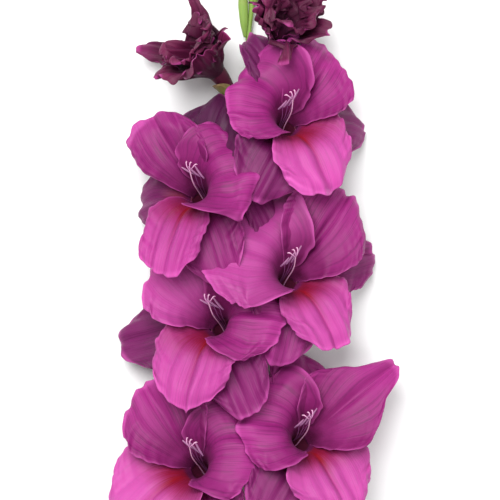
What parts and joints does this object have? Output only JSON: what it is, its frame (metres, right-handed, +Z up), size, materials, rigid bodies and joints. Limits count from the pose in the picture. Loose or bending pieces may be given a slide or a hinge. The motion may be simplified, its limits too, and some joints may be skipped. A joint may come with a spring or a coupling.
{
  "type": "cut gladiolus spike",
  "caption": "Cut gladiolus spike lying on its back, magenta florets facing up, opening florets and green buds at the tip, leaves at the foot.",
  "frame": {"origin": "on the surface the spike lies on, under the middle of its box", "axes": "+Y along the stem towards the tip of the spike, +Z up, the way the open florets face"},
  "size_m": [0.2128, 0.7004, 0.0881],
  "materials": {
    "magenta_tepal": "satin",
    "plum_tepal": "satin",
    "perianth_tube": "satin",
    "green_stem": "satin",
    "green_bract": "satin",
    "green_bud": "satin",
    "green_leaf": "satin"
  },
  "bodies": {
    "root": {"stem": "green_stem", "floret_1_tube_and_stamens": "perianth_tube", "floret_1_lip": "magenta_tepal", "floret_1_upper_left": "magenta_tepal", "floret_1_upper_right": "magenta_tepal", "floret_1_top": "magenta_tepal", "floret_1_lower_left": "magenta_tepal", "floret_1_lower_right": "magenta_tepal", "floret_1_bract": "green_bract", "floret_2_tube_and_stamens": "perianth_tube", "floret_2_lip": "magenta_tepal", "floret_2_upper_left": "magenta_tepal", "floret_2_upper_right": "magenta_tepal", "floret_2_top": "magenta_tepal", "floret_2_lower_left": "magenta_tepal", "floret_2_lower_right": "magenta_tepal", "floret_2_bract": "green_bract", "floret_3_tube_and_stamens": "perianth_tube", "floret_3_lip": "magenta_tepal", "floret_3_upper_left": "magenta_tepal", "floret_3_upper_right": "magenta_tepal", "floret_3_top": "magenta_tepal", "floret_3_lower_left": "magenta_tepal", "floret_3_lower_right": "magenta_tepal", "floret_3_bract": "green_bract", "floret_4_tube_and_stamens": "perianth_tube", "floret_4_lip": "magenta_tepal", "floret_4_upper_left": "magenta_tepal", "floret_4_upper_right": "magenta_tepal", "floret_4_top": "magenta_tepal", "floret_4_lower_left": "magenta_tepal", "floret_4_lower_right": "magenta_tepal", "floret_4_bract": "green_bract", "floret_5_tube_and_stamens": "perianth_tube", "floret_5_lip": "magenta_tepal", "floret_5_upper_left": "magenta_tepal", "floret_5_upper_right": "magenta_tepal", "floret_5_top": "magenta_tepal", "floret_5_lower_left": "magenta_tepal", "floret_5_lower_right": "magenta_tepal", "floret_5_bract": "green_bract", "floret_6_tube_and_stamens": "perianth_tube", "floret_6_lip": "magenta_tepal", "floret_6_upper_left": "magenta_tepal", "floret_6_upper_right": "magenta_tepal", "floret_6_top": "magenta_tepal", "floret_6_lower_left": "magenta_tepal", "floret_6_lower_right": "magenta_tepal", "floret_6_bract": "green_bract", "opening_floret_1_tepals": "plum_tepal", "opening_floret_1_bract": "green_bract", "opening_floret_2_tepals": "plum_tepal", "opening_floret_2_bract": "green_bract", "bud_1": "green_bud", "bud_2": "green_bud", "bud_3": "green_bud", "bud_4": "green_bud", "bud_5": "green_bud", "leaf_1": "green_leaf", "leaf_2": "green_leaf"}
  },
  "joints": []
}
